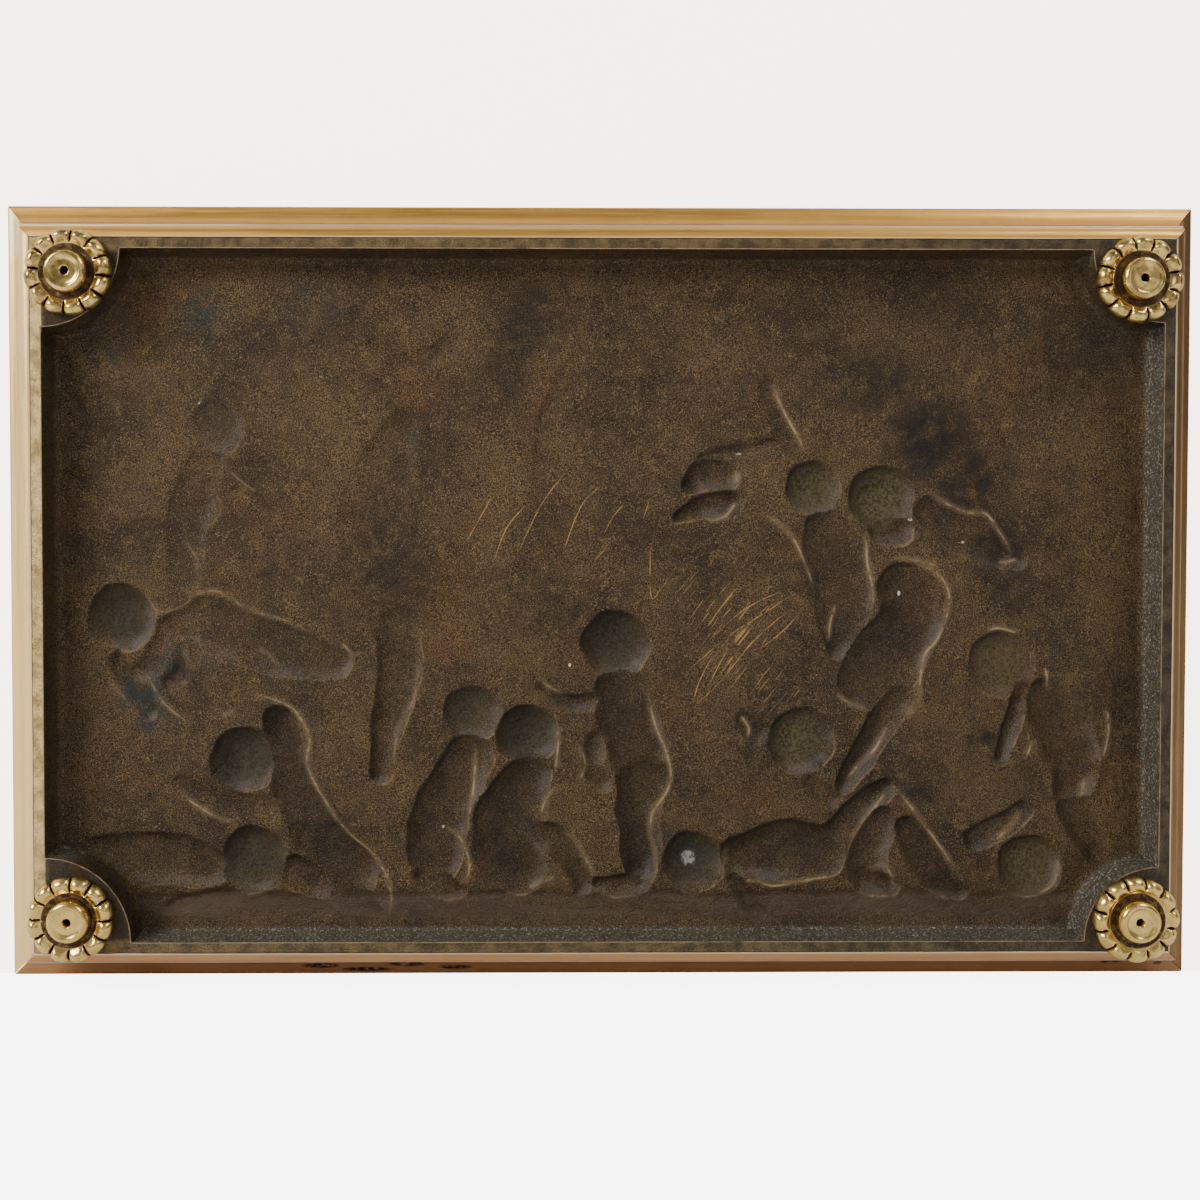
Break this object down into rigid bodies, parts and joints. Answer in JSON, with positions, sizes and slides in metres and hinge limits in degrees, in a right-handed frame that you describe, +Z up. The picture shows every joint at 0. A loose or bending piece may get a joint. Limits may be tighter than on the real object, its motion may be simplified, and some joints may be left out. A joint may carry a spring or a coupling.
{
  "type": "relief plaque",
  "caption": "Wall plaque of cast bronze with figures sunk in a recessed field, in a mitred brass moulding with a petalled rosette on each corner.",
  "frame": {"origin": "on the back of the top moulding, halfway along it and halfway across its width, where the plaque lies on the wall", "axes": "+X to the right as seen from the front, +Y into the wall, +Z up; the figures face -Y"},
  "size_m": [0.5, 0.0294, 0.326],
  "materials": {
    "panel_bronze": "sand-cast bronze with a dark brown patina, ochre and purplish patches, edges rubbed bright",
    "moulding_brass": "drawn brass, handled to a warm satin, with darker stains and fine lines along its length",
    "rosette_brass": "cast brass, polished, with dark dirt in the notches and a reddish sunk ring"
  },
  "bodies": {
    "root": {"relief_panel": "panel_bronze", "moulding_top": "moulding_brass", "moulding_bottom": "moulding_brass", "moulding_left": "moulding_brass", "moulding_right": "moulding_brass", "rosette_top_left": "rosette_brass", "rosette_top_right": "rosette_brass", "rosette_bottom_left": "rosette_brass", "rosette_bottom_right": "rosette_brass"}
  },
  "joints": []
}
